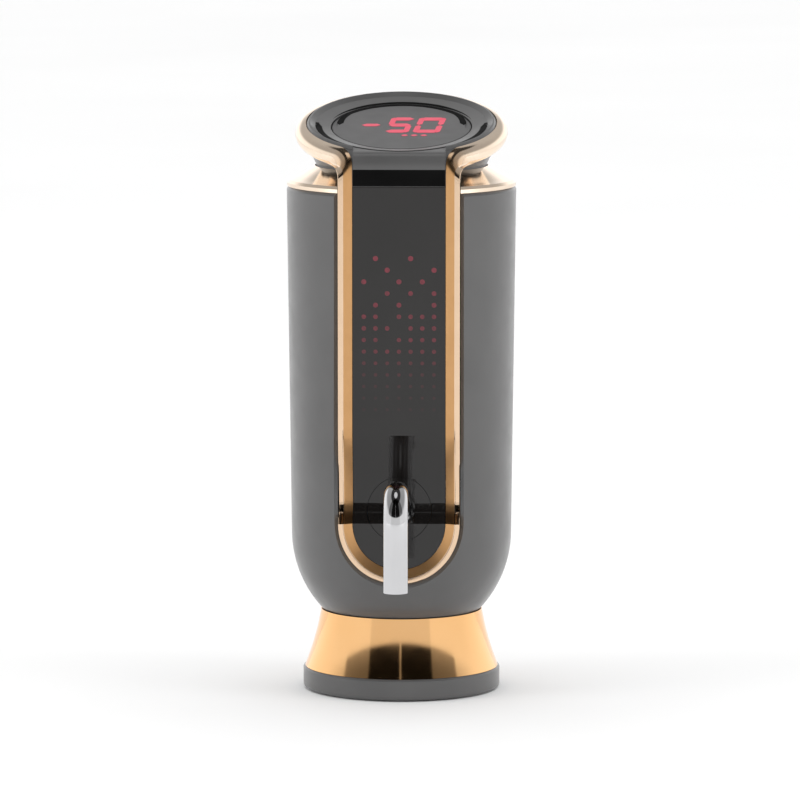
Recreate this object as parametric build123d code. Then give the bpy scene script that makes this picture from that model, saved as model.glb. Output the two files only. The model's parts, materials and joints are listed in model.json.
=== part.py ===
"""Electric wine dispenser: a battery pump head that stands on a bottle's neck.

Millimetres. The axis of the round body is Z, the front (spout side) faces -Y,
and the origin is on the axis at the underside of the base ring.
"""
from build123d import *
from math import cos, radians, sin, sqrt, tan
import os

# ---------------------------------------------------------------- driving sizes
GAP = 0.3                   # clearance between separate mouldings
FIT = 0.05                  # running clearance, radial

# base ring, skirt and stopper
RING_R = 24.8
RING_H = 5.4
RING_BORE = 21.2
SKIRT_TOP_R = 20.3
SKIRT_TOP_Z = 20.0
SKIRT_WALL = 1.3
STOPPER_R = 9.3             # presses into an 18.5 mm bottle bore
STOPPER_LAND = 8.0
STOPPER_LAND_Z = 5.0
LIP_SEAT_Z = 16.8

# body shell
SHELL_FOOT_Z = 20.2
SHELL_ARC_R = 28.5
SHELL_ARC_CENTRE = (-0.8, 39.6)
SHELL_TOP_R = 28.8
SHELL_TOP_Z = 127.0
SHELL_WALL = 2.0
SHELL_BEVEL = 1.0           # round the front cut-out

# front cut-out, trim frame and panel
FRAME_HALF = 15.1
FRAME_RIM = 1.2
FRAME_SLOPE = 2.3
FRAME_INSET = 1.25
FRAME_DEPTH = 3.0
FRAME_Y = -25.4
U_CENTRE_Z = 44.7
BEND_Z = 66.8
VALLEY_Y = -20.9
VALLEY_Z = 49.3
PANEL_TOP_Z = 128.7
PANEL_THICK = 1.6
PANEL_HALF = FRAME_HALF - FRAME_RIM - FRAME_SLOPE - 0.1

# slanted cap
CAP_TILT = 14.0
CAP_Z = 140.7
CAP_R = 23.8
CAP_TOP = 1.9               # its flat top above the tilted plane through CAP_Z
CROWN_RUN = 2.9             # how far the front leans back to meet the cap
BEZEL_R = 26.6
DISH_R = 21.6
KEY_R = 17.4

# spout
SPOUT_R = 3.0
SPOUT_BORE = 2.4
SPOUT_BEND = 7.0
SPOUT_REACH = 54.0
SPOUT_TIP_Z = 32.0
SPOUT_TOP_Z = 58.5
SPOUT_RISE = 17.5           # degrees above the horizontal where it leaves the hub
SPOUT_ROOT_Y = -21.0
HUB_R = 8.0
SPIGOT = 8.6

# telescopic dip tube: bores and walls step down from the fixed sleeve inwards
SLEEVE_R = 5.2
TUBE_WALL = 0.45
TUBE_CRIMP = 4.0
SLEEVE_TOP_Z = 98.0
TUBE_FOOT_Z = 2.0
TIP_LENGTH = 5.0

# works
BATTERY_R = 9.15
BATTERY_LENGTH = 65.0
BATTERY_AT = (-12.5, 9.5)
BATTERY_Z = 40.0
PUMP_AT = (12.2, 9.0)
MOTOR_R = 9.5
MOTOR_Z = 66.5
MOTOR_LENGTH = 31.5
BOARD_Y = -12.6
BOARD_THICK = 1.6
LED_COLUMNS = 7
LED_ROWS = 14
LED_PITCH = 2.9
LED_TOP_Z = 111.0
LED_LAMP = 1.2
USB_Z = 36.0
BALL_R = 2.1

cap_plane = Plane(
    origin=(0, 0, CAP_Z),
    x_dir=(1, 0, 0),
    z_dir=(0, -sin(radians(CAP_TILT)), cos(radians(CAP_TILT))),
)
SPOUT_BEND_Y = SPOUT_BEND - SPOUT_REACH
SPOUT_BEND_Z = SPOUT_TOP_Z - SPOUT_R - SPOUT_BEND
SPOUT_RUN = (SPOUT_ROOT_Y - SPOUT_BEND_Y) / cos(radians(SPOUT_RISE)) - SPOUT_BEND * tan(radians(SPOUT_RISE))
SPOUT_ROOT_Z = SPOUT_BEND_Z + SPOUT_BEND * cos(radians(SPOUT_RISE)) - SPOUT_RUN * sin(radians(SPOUT_RISE))
spout_plane = Plane(
    origin=(0, SPOUT_ROOT_Y, SPOUT_ROOT_Z),
    x_dir=(1, 0, 0),
    z_dir=(0, -cos(radians(SPOUT_RISE)), sin(radians(SPOUT_RISE))),
)


# ---------------------------------------------------------------- small helpers
def rod(radius, low, high, at=(0, 0)):
    """Upright cylinder between two heights."""
    return Pos(at[0], at[1], (low + high) / 2) * Cylinder(radius, high - low)


def tube(outer, inner, low, high, at=(0, 0)):
    """Upright tube between two heights."""
    return rod(outer, low, high, at) - rod(inner, low - 1, high + 1, at)


def block(x, y, z):
    """Box from its limits along each axis."""
    size = (x[1] - x[0], y[1] - y[0], z[1] - z[0])
    middle = ((x[0] + x[1]) / 2, (y[0] + y[1]) / 2, (z[0] + z[1]) / 2)
    return Pos(*middle) * Box(*size)


def lathe(*edges):
    """Solid of revolution about Z from edges drawn as (radius, height)."""
    outline = Plane.XZ * make_face(Wire(edges))
    return revolve(outline, Axis.Z)


def turned(*points):
    """Solid of revolution about Z from a polygon of (radius, height)."""
    outline = Plane.XZ * make_face(Polyline(*points, close=True))
    return revolve(outline, Axis.Z)


def rod_x(radius, low, high, y, z):
    """Cylinder along X between two places."""
    return Pos((low + high) / 2, y, z) * Rot(0, 90, 0) * Cylinder(radius, high - low)


def rod_y(radius, low, high, x, z):
    """Cylinder along Y between two places."""
    return Pos(x, (low + high) / 2, z) * Rot(90, 0, 0) * Cylinder(radius, high - low)


def round_the_axis(radius, angles):
    """Places on a circle about Z, at angles in degrees from +X."""
    return [(radius * cos(radians(a)), radius * sin(radians(a))) for a in angles]


def screws(places, head_z, tip_z, radius=1.0, head_r=1.9, head_h=1.2):
    """Screws pointing up, heads below, as a group of separate solids."""
    parts = []
    for place in places:
        head = rod(head_r, head_z, head_z + head_h, place)
        socket = rod(0.8, head_z - 1, head_z + 0.7, place)
        shank = rod(radius, head_z + head_h, tip_z, place)
        parts.append(head - socket + shank)
    return Compound(children=parts)


def u_prism(half, y_low, y_high, top_z):
    """Upright slot with a round lower end, cut right through along Y."""
    upright = block((-half, half), (y_low, y_high), (U_CENTRE_Z, top_z))
    return upright + rod_y(half, y_low, y_high, 0, U_CENTRE_Z)


# ---------------------------------------------------------------- places
FOOT_SCREWS = round_the_axis(16.5, (90, 210, 330))
DECK_SCREWS = round_the_axis(23.4, (90, 200, 340))
BOARD_SCREWS = [(x, z) for x in (-18, 18) for z in (64, 114)]
SPOUT_SEAL_DEPTHS = (-2.6, -5.6)
WINE_TUBE_AT = (0, -8.2)
PLUNGER_AT = (-8.4, 46.0)
KEY_STEM = (0, 11.5)


# ---------------------------------------------------------------- front profile
def cap_height(y):
    """Height of the cap's flat top over the middle line, at a depth y."""
    return CAP_Z + CAP_TOP / cos(radians(CAP_TILT)) + y * tan(radians(CAP_TILT))


def front_line(shift, top=True):
    """Side view of the front, from the cap down to the U's centre height."""
    crown_y = FRAME_Y + CROWN_RUN + shift
    crown = (crown_y, cap_height(crown_y))
    shoulder = (FRAME_Y + shift, PANEL_TOP_Z)
    bend = (FRAME_Y + shift, BEND_Z)
    valley = (VALLEY_Y + shift, VALLEY_Z)
    foot = (FRAME_Y + shift, U_CENTRE_Z)
    lean = (-cos(radians(CAP_TILT)), -sin(radians(CAP_TILT)))
    edges = [Spline(crown, shoulder, tangents=[lean, (0, -1)])] if top else []
    edges.append(Line(shoulder, bend))
    edges.append(Spline(bend, valley, tangents=[(0.26, -1), (0, -1)]))
    edges.append(Spline(valley, foot, tangents=[(-0.2, -1), (-1, -0.75)]))
    return edges


def front_slab(shift, thick, top=True):
    """Closed side-view face of a layer that follows the front line."""
    outer = front_line(shift, top)
    inner = front_line(shift + thick, top)
    ends = [
        Line(outer[0] @ 0, inner[0] @ 0),
        Line(outer[-1] @ 1, inner[-1] @ 1),
    ]
    return Plane.YZ * make_face(Wire(outer + inner + ends))


def panel_shape(shift, thick, half):
    """Front layer of a given half width, with a round lower end."""
    upper = Pos(-half, 0, 0) * extrude(front_slab(shift, thick, False), 2 * half, dir=(1, 0, 0))
    lower = rod_y(half, FRAME_Y + shift, FRAME_Y + shift + thick, 0, U_CENTRE_Z)
    lower -= block((-half - 1, half + 1), (FRAME_Y - 5, 0), (U_CENTRE_Z, U_CENTRE_Z + half + 1))
    return upper + lower


# ---------------------------------------------------------------- trim frame
def frame_strip(side):
    """One upright strip: narrow front face, then a face sloping in to the panel."""
    slab = front_slab(0, FRAME_DEPTH)
    rim = extrude(Pos(side * (FRAME_HALF - FRAME_RIM), 0, 0) * slab, FRAME_RIM, dir=(side, 0, 0))
    reach = sqrt(FRAME_SLOPE**2 + FRAME_INSET**2)
    slope_dir = Vector(-side * FRAME_SLOPE, FRAME_INSET, 0).normalized()
    slope = extrude(Pos(side * (FRAME_HALF - FRAME_RIM), 0, 0) * slab, reach, dir=slope_dir)
    return rim + slope


def frame_foot():
    """The U under the strips, with the same section."""
    inner = FRAME_HALF - FRAME_RIM - FRAME_SLOPE
    section = Polyline(
        (FRAME_HALF, FRAME_Y),
        (FRAME_HALF - FRAME_RIM, FRAME_Y),
        (inner, FRAME_Y + FRAME_INSET),
        (inner, FRAME_Y + FRAME_DEPTH + FRAME_INSET),
        (FRAME_HALF - FRAME_RIM, FRAME_Y + FRAME_DEPTH),
        (FRAME_HALF, FRAME_Y + FRAME_DEPTH),
        close=True,
    )
    face = Pos(0, 0, U_CENTRE_Z) * make_face(section)
    axis = Axis((0, 0, U_CENTRE_Z), (0, 1, 0))
    return revolve(face, axis, 180)


def bezel():
    """Slanted ring round the cap, open at the front between the strips."""
    crown = ThreePointArc((23.95, 2.3), (BEZEL_R, 0.1), (24.4, -2.9))
    ring = lathe(crown, Line((24.4, -2.9), (23.95, -2.9)), Line((23.95, -2.9), (23.95, 2.3)))
    inner = FRAME_HALF - FRAME_RIM - FRAME_SLOPE
    return cap_plane.location * ring - block((-inner, inner), (-40, 0), (100, 160))


def trim_frame():
    solid = frame_foot()
    cap_room = cap_plane.location * rod(CAP_R + 0.15, -9, 12)
    for side in (-1, 1):
        solid += frame_strip(side) - cap_room
    return solid + bezel()


# ---------------------------------------------------------------- outer covers
def body_shell():
    """Round body with a bowl-shaped foot and the front cut-out."""
    centre_r, centre_z = SHELL_ARC_CENTRE

    def arc(radius, low_z):
        low = (centre_r + sqrt(radius**2 - (centre_z - low_z) ** 2), low_z)
        mid_z = low_z + 0.45 * (centre_z - low_z)
        mid = (centre_r + sqrt(radius**2 - (centre_z - mid_z) ** 2), mid_z)
        return ThreePointArc(low, mid, (centre_r + radius, centre_z))

    outer = arc(SHELL_ARC_R, SHELL_FOOT_Z)
    inner = arc(SHELL_ARC_R - SHELL_WALL, SHELL_FOOT_Z + SHELL_WALL)
    top_in = (SHELL_TOP_R - SHELL_WALL, SHELL_TOP_Z)
    top_out = (SHELL_TOP_R - 0.5, SHELL_TOP_Z)
    bore_low, bore_high = (11.0, SHELL_FOOT_Z), (11.0, SHELL_FOOT_Z + SHELL_WALL)
    solid = lathe(
        outer,
        Line(outer @ 1, (SHELL_TOP_R, SHELL_TOP_Z - 0.7)),
        Line((SHELL_TOP_R, SHELL_TOP_Z - 0.7), top_out),
        Line(top_out, top_in),
        Line(top_in, inner @ 1),
        inner,
        Line(inner @ 0, bore_high),
        Line(bore_high, bore_low),
        Line(bore_low, outer @ 0),
    )
    solid -= u_prism(FRAME_HALF + 0.15, -40, -10, SHELL_TOP_Z + 5)
    solid = chamfer(front_uprights(solid), SHELL_BEVEL)
    for place in FOOT_SCREWS:
        solid -= rod(1.1, 15, 30, place)
    return solid - usb_slot(9.3, 3.6, 20, 35)


def front_uprights(solid):
    """The cut-out's two long outer edges; a bevel on them runs on round its foot."""
    long_edges = [edge for edge in solid.edges() if edge.length > 80]
    return sorted(long_edges, key=lambda edge: (edge @ 0.5).Y)[:2]


def usb_slot(width, height, y_low, y_high):
    """Round-ended slot along Y at the charging socket's height."""
    half = (width - height) / 2
    slot = block((-half, half), (y_low, y_high), (USB_Z - height / 2, USB_Z + height / 2))
    for x in (-half, half):
        slot += rod_y(height / 2, y_low, y_high, x, USB_Z)
    return slot


def shoulder_ring():
    """Bright ring that runs in from the body's top edge to the waist."""
    low_z = SHELL_TOP_Z + 0.2
    flare = Spline((28.2, 128.8), (25.2, 130.1), (23.3, 131.2), (21.7, 132.2))
    solid = lathe(
        Line((26.2, low_z), (28.75, low_z)),
        Line((28.75, low_z), (28.75, low_z + 0.9)),
        Line((28.75, low_z + 0.9), (28.2, 128.8)),
        flare,
        Line((21.7, 132.2), (21.7, 129.6)),
        Line((21.7, 129.6), (24.4, 128.2)),
        Line((24.4, 128.2), (26.2, 125.6)),
        Line((26.2, 125.6), (26.2, low_z)),
    )
    return solid - front_channel()


def front_channel(back=-17.0):
    """Room for the strips and the panel through the parts above the body."""
    half = FRAME_HALF + 0.15
    return block((-half, half), (-40, back), (100, 160))


def neck_collar():
    """Dark waist: a flange inside the body, a neck, and a flare under the cap."""
    solid = turned(
        (18.6, 123.0), (25.6, 123.0), (25.6, 125.2), (21.4, 125.2), (21.4, 132.5),
        (22.6, 135.0), (23.4, 137.4), (23.4, 150.0), (21.6, 150.0), (21.6, 137.6), (18.6, 134.6),
    )
    solid -= cap_plane.location * block((-40, 40), (-40, 40), (-2.0, 30))
    for place in DECK_SCREWS:
        solid -= rod(1.05, 120, 124.6, place)
    return solid - front_channel()


def half_ring(inner, outer, low, high, side):
    """Half of a flat ring in the cap's plane, at the front (-1) or the back (1)."""
    ring = tube(outer, inner, low, high)
    half = block((-40, 40), sorted((side * -1.2, side * 40)), (low - 1, high + 1))
    return cap_plane.location * (ring & half)


def top_cap():
    """Slanted cap: raised rim, dished bevel, and an apron that rolls down to the panel."""
    disc = turned(
        (KEY_R + GAP, -0.6), (20.4, -0.6), (20.4, -1.9), (CAP_R, -1.9), (CAP_R, 2.1), (23.3, 2.7),
        (22.9, 2.8), (DISH_R, CAP_TOP), (KEY_R + GAP, 1.2),
    )
    half = PANEL_HALF
    cap = cap_plane.location * disc - half_ring(DISH_R - 0.9, DISH_R, 1.35, 3, -1)
    inside = cap_plane.location * rod(DISH_R, -9, 12)
    cap -= block((-half, half), (-40, 0), (100, 160)) - inside
    return cap + (apron(half) - inside)


def apron(half):
    """Flat corners in front of the dish, rolling over to the upright panel."""
    roll = front_line(FRAME_INSET)[0]
    back = front_line(FRAME_INSET + PANEL_THICK)[0]
    rear_y = -16.0
    top, bottom = (rear_y, cap_height(rear_y)), (rear_y, cap_height(rear_y) - PANEL_THICK)
    outline = [
        Line(top, roll @ 0),
        roll,
        Line(roll @ 1, back @ 1),
        back,
        Line(back @ 0, bottom),
        Line(bottom, top),
    ]
    side_view = Plane.YZ * make_face(Wire(outline))
    solid = extrude(Pos(-half, 0, 0) * side_view, 2 * half, dir=(1, 0, 0))
    return solid - block((-half, half), (-40, 0), (100, PANEL_TOP_Z + 0.15))


def key_plate():
    """Display window that is also the key: a clear plate with a stem to its switch."""
    plate = rod(KEY_R, -0.4, 1.2)
    plate = chamfer(plate.edges().group_by(Axis.Z)[-1], 0.15)
    plate = cap_plane.location * (plate + rod(1.2, -2.0, -0.4, KEY_STEM))
    return plate - half_ring(KEY_R - 1.4, KEY_R + 1, 0.85, 2, 1)


def front_panel():
    """Tinted front: upright, folded in above the spout, round at its lower end."""
    solid = panel_shape(FRAME_INSET, PANEL_THICK, PANEL_HALF)
    return solid - spout_plane.location * rod(HUB_R + 0.1, -14, 8)


def skirt():
    """Flared bright skirt that covers the bottle's lip."""
    low_z = RING_H + 0.05
    outer = Spline((24.35, low_z), (22.7, 10.0), (21.3, 15.0), (SKIRT_TOP_R, SKIRT_TOP_Z))
    inner = Spline((22.9, 7.2), (21.35, 10.6), (20.0, 15.0), (SKIRT_TOP_R - SKIRT_WALL, SKIRT_TOP_Z))
    return lathe(
        outer,
        Line((SKIRT_TOP_R, SKIRT_TOP_Z), (SKIRT_TOP_R - SKIRT_WALL, SKIRT_TOP_Z)),
        inner,
        Line((22.9, 7.2), (22.1, 7.2)),
        Line((22.1, 7.2), (22.1, 3.0)),
        Line((22.1, 3.0), (22.95, 3.0)),
        Line((22.95, 3.0), (22.95, low_z)),
        Line((22.95, low_z), (24.35, low_z)),
    )


def base_ring():
    """Dark ring that the dispenser stands on."""
    edge = 0.8
    return turned(
        (RING_BORE, 0.5), (RING_BORE + 0.5, 0), (RING_R - edge, 0), (RING_R - 0.2, 0.25), (RING_R, edge),
        (RING_R, RING_H - 0.5), (RING_R - 0.15, RING_H - 0.15), (RING_R - 0.5, RING_H), (23.0, RING_H),
        (23.0, 2.9), (RING_BORE, 2.9),
    )


# ---------------------------------------------------------------- stopper
def bottle_stopper():
    """Silicone plug: tapered lead, sealing land, grooves, and a flange on the lip."""
    land_top = STOPPER_LAND_Z + STOPPER_LAND
    return turned(
        (SLEEVE_R + FIT, 1.5), (8.2, 1.5), (8.8, STOPPER_LAND_Z), (STOPPER_R, STOPPER_LAND_Z),
        (STOPPER_R, land_top), (8.5, land_top + 0.4), (8.5, land_top + 1.4),
        (STOPPER_R - 0.1, land_top + 1.8), (STOPPER_R - 0.1, LIP_SEAT_Z), (14.0, LIP_SEAT_Z),
        (14.0, 18.2), (SLEEVE_R + FIT, 18.2),
    )


def stopper_mount():
    """Disc inside the skirt's top that carries the stopper."""
    solid = turned(
        (SLEEVE_R + FIT, 18.4), (18.75, 18.4), (18.75, 20.0), (10.7, 20.0), (10.7, 21.0), (7.0, 21.0),
        (7.0, 20.0), (SLEEVE_R + FIT, 20.0),
    )
    for place in FOOT_SCREWS:
        solid -= rod(1.1, 15, 30, place)
    return solid


def sleeve_seal():
    """O-ring between the sleeve and the stopper's carrier."""
    return Pos(0, 0, 20.75) * Torus(6.05, 0.72)


# ---------------------------------------------------------------- spout and hub
def spout_solid(radius):
    """Spigot and rise, arch and drop of the spout, as a solid of one radius."""
    section = Pos(0, -SPOUT_REACH, SPOUT_BEND_Z) * Circle(radius)
    arch = revolve(section, Axis((0, SPOUT_BEND_Y, SPOUT_BEND_Z), (-1, 0, 0)), 90 + SPOUT_RISE)
    drop = rod(radius, SPOUT_TIP_Z, SPOUT_BEND_Z, (0, -SPOUT_REACH))
    return spout_plane.location * rod(radius, -SPIGOT, SPOUT_RUN) + arch + drop


def spout_tube():
    return spout_solid(SPOUT_R) - spout_solid(SPOUT_BORE)


def spout_hub():
    """Round boss behind the spout: a face that follows the panel, and a socket."""
    barrel = spout_plane.location * rod(4.9, -9.0, 3.0)
    face = panel_shape(FRAME_INSET - 0.1, PANEL_THICK + 0.3, HUB_R + 2)
    face = face & spout_plane.location * rod(HUB_R, -14, 8)
    behind = panel_shape(FRAME_INSET + 0.4, 12, HUB_R + 2)
    solid = face + (barrel & behind)
    solid -= spout_plane.location * rod(SPOUT_R + FIT, -30, 20)
    solid -= spout_plane.location * rod(4.1, 0.4, 8)
    solid -= block((-10, 10), (-11.4, 0), (30, 60))
    for depth in SPOUT_SEAL_DEPTHS:
        solid -= spout_plane.location * rod(3.95, depth - 0.65, depth + 0.65)
    return solid


def spout_seals():
    """Two O-rings in the socket that the spout pushes through."""
    ring = tube(3.9, SPOUT_R + 0.04, -0.55, 0.55)
    rings = [spout_plane.location * Pos(0, 0, depth) * ring for depth in SPOUT_SEAL_DEPTHS]
    return Compound(children=rings)


def spout_collar():
    """Bright ring round the spout where it leaves the hub."""
    ring = turned((3.1, 0.6), (4.0, 0.6), (4.0, 2.2), (3.6, 2.9), (3.1, 2.9))
    return spout_plane.location * ring


# ---------------------------------------------------------------- dip tube
def telescopic_stage(step, head=True):
    """Thin steel tube, crimped in at its foot and flared at its head."""
    outer = SLEEVE_R - step * (TUBE_WALL + FIT + 0.5)
    bore = outer - TUBE_WALL
    foot = TUBE_FOOT_Z
    top = SLEEVE_TOP_Z - 1.0 * step
    solid = tube(outer, bore, foot, top)
    throat = bore - 0.5
    solid += tube(bore + 0.1, throat, foot, foot + TUBE_CRIMP)
    if head:
        solid += tube(outer + 0.5 - FIT, outer - 0.1, top - TUBE_CRIMP, top)
    return solid


def dip_sleeve():
    return telescopic_stage(0, head=False)


def dip_tube_lower():
    """Last stage: a plain tube with a flared head; its foot takes the strainer."""
    outer = SLEEVE_R - 3 * (TUBE_WALL + FIT + 0.5)
    top = SLEEVE_TOP_Z - 3.0
    solid = tube(outer, outer - TUBE_WALL, TUBE_FOOT_Z + TIP_LENGTH, top)
    return solid + tube(outer + 0.45, outer - 0.1, top - TUBE_CRIMP, top)


def strainer_tip():
    """Slotted silicone foot on the last stage."""
    outer = SLEEVE_R - 3 * (TUBE_WALL + FIT + 0.5)
    solid = tube(outer, 1.2, TUBE_FOOT_Z, TUBE_FOOT_Z + TIP_LENGTH)
    for turn in (0, 90):
        solid -= Rot(0, 0, turn) * block((-4, 4), (-0.5, 0.5), (TUBE_FOOT_Z - 1, TUBE_FOOT_Z + 2))
    return solid


def sleeve_head():
    """Elbow on the sleeve's top, with a spigot pointing down for the wine tube."""
    low_z = SLEEVE_TOP_Z + 0.2
    solid = rod(5.4, low_z, low_z + 6.0) + block((-3, 3), (-10.8, 0), (low_z, low_z + 6.0))
    solid += rod(SLEEVE_R - TUBE_WALL - FIT, SLEEVE_TOP_Z - 0.7, low_z)
    solid += rod(1.25, 92.5, low_z, WINE_TUBE_AT)
    solid -= rod(0.7, 92, 101.2, WINE_TUBE_AT)
    solid -= rod_y(0.8, WINE_TUBE_AT[1] - 0.4, 0, 0, 101.2)
    return solid - rod(3.4, 96, 102.4)


# ---------------------------------------------------------------- wine path
def wine_tube():
    return tube(2.3, 1.3, 55.6, 97.4, WINE_TUBE_AT)


def valve_body():
    """Pinch valve block between the wine tube and the spout's socket."""
    solid = block((-7, 7), (-11.2, -5.6), (38, 54))
    solid = fillet(solid.edges().filter_by(Axis.Z), 1.0)
    solid += rod(1.25, 54, 60, WINE_TUBE_AT)
    solid -= rod(0.7, 44, 61, WINE_TUBE_AT)
    solid -= rod_y(1.6, -14, WINE_TUBE_AT[1], 0, PLUNGER_AT[1] - 1.5)
    return solid - rod_x(2.0 + FIT, -4.5, 8, *PLUNGER_AT)


def solenoid_coil():
    solid = rod_x(4.6, 7.3, 16.6, *PLUNGER_AT)
    solid += rod_x(5.0, 7.3, 8.3, *PLUNGER_AT) + rod_x(5.0, 15.6, 16.6, *PLUNGER_AT)
    return solid - rod_x(2.0 + FIT, 7, 15, *PLUNGER_AT)


def solenoid_plunger():
    """Steel plunger that pinches the wine passage shut when it is let go."""
    return rod_x(2.0, -2.0, 12.6, *PLUNGER_AT)


# ---------------------------------------------------------------- air pump
def pump_motor():
    can = rod(MOTOR_R, MOTOR_Z, MOTOR_Z + MOTOR_LENGTH, PUMP_AT)
    can = fillet(can.edges().group_by(Axis.Z)[-1], 1.0)
    can += rod(3.0, MOTOR_Z + MOTOR_LENGTH, MOTOR_Z + MOTOR_LENGTH + 1.6, PUMP_AT)
    return can - rod(1.05, MOTOR_Z - 1, MOTOR_Z + 6, PUMP_AT)


def pump_shaft():
    return rod(1.0, 58.2, MOTOR_Z + 5.5, PUMP_AT)


def pump_eccentric():
    """Off-centre disc on the shaft that rocks the diaphragm."""
    disc = rod(4.5, 58.0, 61.4, (PUMP_AT[0] + 1.2, PUMP_AT[1]))
    return disc - rod(1.0, 57, 63, PUMP_AT)


def pump_rocker():
    """Cup round the eccentric, with a stud down to the diaphragm."""
    cup = rod(7.4, 55.4, 61.8, PUMP_AT) - rod(6.0, 56.6, 63, PUMP_AT)
    return cup + rod(1.4, 53.6, 55.4, PUMP_AT)


def pump_housing():
    """Cup over the rocker, with ears that hold it under the motor."""
    return rod(9.2, 52.2, 66.2, PUMP_AT) - rod(7.9, 51, 64.4, PUMP_AT) - rod(2.2, 60, 70, PUMP_AT)


def pump_diaphragm():
    return rod(9.0, 50.6, 52.0, PUMP_AT) + rod(1.4, 52.0, 53.4, PUMP_AT) - rod(5.5, 50, 51.2, PUMP_AT)


def pump_head():
    """Valve head with its outlet spigot."""
    solid = rod(9.2, 45.0, 50.4, PUMP_AT) + rod(1.15, 40.6, 45.0, PUMP_AT)
    return solid - rod(0.6, 40, 51, PUMP_AT)


def air_tube():
    return tube(2.1, 1.2, 36.4, 44.7, PUMP_AT)


def check_valve_body():
    """Small one-way valve that keeps the bottle's pressure from running back."""
    solid = rod(4.4, 25.4, 35.0, PUMP_AT) + rod(1.15, 35.0, 40.2, PUMP_AT)
    return solid - rod(BALL_R + GAP, 27.0, 33.4, PUMP_AT) - rod(0.7, 24, 41, PUMP_AT)


def check_valve_ball():
    """Steel ball that rests on its seat and lifts when air flows."""
    return Pos(PUMP_AT[0], PUMP_AT[1], 29.2) * Sphere(BALL_R)


# ---------------------------------------------------------------- chassis and power
def chassis():
    """Moulded frame inside the body: base, two rails, a spine and a top deck."""
    solid = rod(19.0, 23.0, 25.0) - rod(SLEEVE_R + GAP, 20, 30)
    for side in (-1, 1):
        solid += block(sorted((side * 17.0, side * 19.0)), (-10.9, -2.0), (27.0, 122.0))
        solid += block(sorted((side * 15.0, side * 18.0)), (-8.0, -2.0), (23.0, 28.0))
    solid += block((-1.5, 1.5), (6.2, 20.5), (40.0, 122.0))
    deck = rod(24.8, 120.5, 122.5) - block((-30, 30), (-30, -16.5), (100, 140))
    deck -= block((-13, -3), (-6, 6), (100, 140)) + block((3, 13), (-6, 6), (100, 140))
    solid += deck
    for place in FOOT_SCREWS:
        solid += rod(2.4, 22.6, 28.0, place)
        solid -= rod(1.05, 20, 27.6, place)
    for place in DECK_SCREWS:
        solid -= rod(1.1, 119, 123, place)
    for x, z in BOARD_SCREWS:
        solid -= rod_y(1.05, -12, -5.5, x, z)
    return solid


def battery_cell():
    cell = rod(BATTERY_R, BATTERY_Z, BATTERY_Z + BATTERY_LENGTH - 1.5, BATTERY_AT)
    cell = fillet(cell.edges().group_by(Axis.Z)[0], 0.8)
    return cell + rod(3.0, BATTERY_Z + BATTERY_LENGTH - 1.5, BATTERY_Z + BATTERY_LENGTH, BATTERY_AT)


def battery_holder():
    """Cradle with end plates, open towards the front."""
    low, high = BATTERY_Z - 2.6, BATTERY_Z + BATTERY_LENGTH + 2.6
    solid = rod(10.1, low, high, BATTERY_AT)
    solid -= rod(BATTERY_R + 0.15, BATTERY_Z - 1.2, BATTERY_Z + BATTERY_LENGTH + 1.2, BATTERY_AT)
    solid -= block((-30, 0), (-5, 5.5), (BATTERY_Z - 1.2, BATTERY_Z + BATTERY_LENGTH + 1.2))
    return solid & rod(25.3, 20, 122)


def battery_contacts():
    """Plate at the top, plate at the foot."""
    low = rod(4.0, BATTERY_Z - 1.1, BATTERY_Z - 0.1, BATTERY_AT)
    high = rod(4.0, BATTERY_Z + BATTERY_LENGTH + 0.1, BATTERY_Z + BATTERY_LENGTH + 1.1, BATTERY_AT)
    return Compound(children=[low, high])


# ---------------------------------------------------------------- electronics
def main_board():
    solid = block((-19, 19), (BOARD_Y, BOARD_Y + BOARD_THICK), (60, 118))
    for x, z in BOARD_SCREWS:
        solid -= rod_y(1.1, BOARD_Y - 1, BOARD_Y + 3, x, z)
    return solid


def board_chips():
    """The larger packages on the main board's front."""
    front = BOARD_Y - 0.05
    sizes = [((-6, 4), (96, 106)), ((-13, -8), (80, 86)), ((7, 13), (78, 86)), ((-5, 1), (66, 70))]
    return Compound(children=[block(x, (front - 1.2, front), z) for x, z in sizes])


def pressure_sensor():
    front = BOARD_Y - 0.05
    solid = block((6, 13), (front - 2.6, front), (96, 103))
    return solid + rod_y(1.0, front - 5.0, front - 2.6, 9.5, 99.5)


def board_screws():
    parts = []
    for x, z in BOARD_SCREWS:
        head = rod_y(1.8, BOARD_Y - 1.3, BOARD_Y - 0.05, x, z)
        parts.append(head + rod_y(1.0, BOARD_Y - 0.05, -6.0, x, z))
    return Compound(children=parts)


def led_places():
    """Centres of the light matrix, (x, z), row by row from the top."""
    left = -LED_PITCH * (LED_COLUMNS - 1) / 2
    return [
        (left + LED_PITCH * column, LED_TOP_Z - LED_PITCH * row)
        for row in range(LED_ROWS)
        for column in range(LED_COLUMNS)
    ]


def led_board():
    return block((-10.6, 10.6), (-20.0, -18.8), (70, 116))


def led_lamps():
    half = LED_LAMP / 2
    lamps = [block((x - half, x + half), (-20.8, -20.0), (z - half, z + half)) for x, z in led_places()]
    return Compound(children=lamps)


def led_mask():
    """Light guide that keeps each lamp's glow to its own dot."""
    solid = block((-10.6, 10.6), (-22.3, -20.9), (70, 116))
    return solid - [rod_y(0.75, -23, -20, x, z) for x, z in led_places()]


def display_board():
    return cap_plane.location * rod(16.4, -5.4, -4.2)


def display_module():
    """Numeric display under the key plate."""
    return cap_plane.location * block((-12.5, 12.5), (-9.0, 8.0), (-4.15, -1.3))


def key_switch():
    body = block((KEY_STEM[0] - 3, KEY_STEM[0] + 3), (KEY_STEM[1] - 2.4, KEY_STEM[1] + 3), (-4.15, -3.1))
    return cap_plane.location * (body + rod(1.0, -3.1, -2.6, KEY_STEM))


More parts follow.
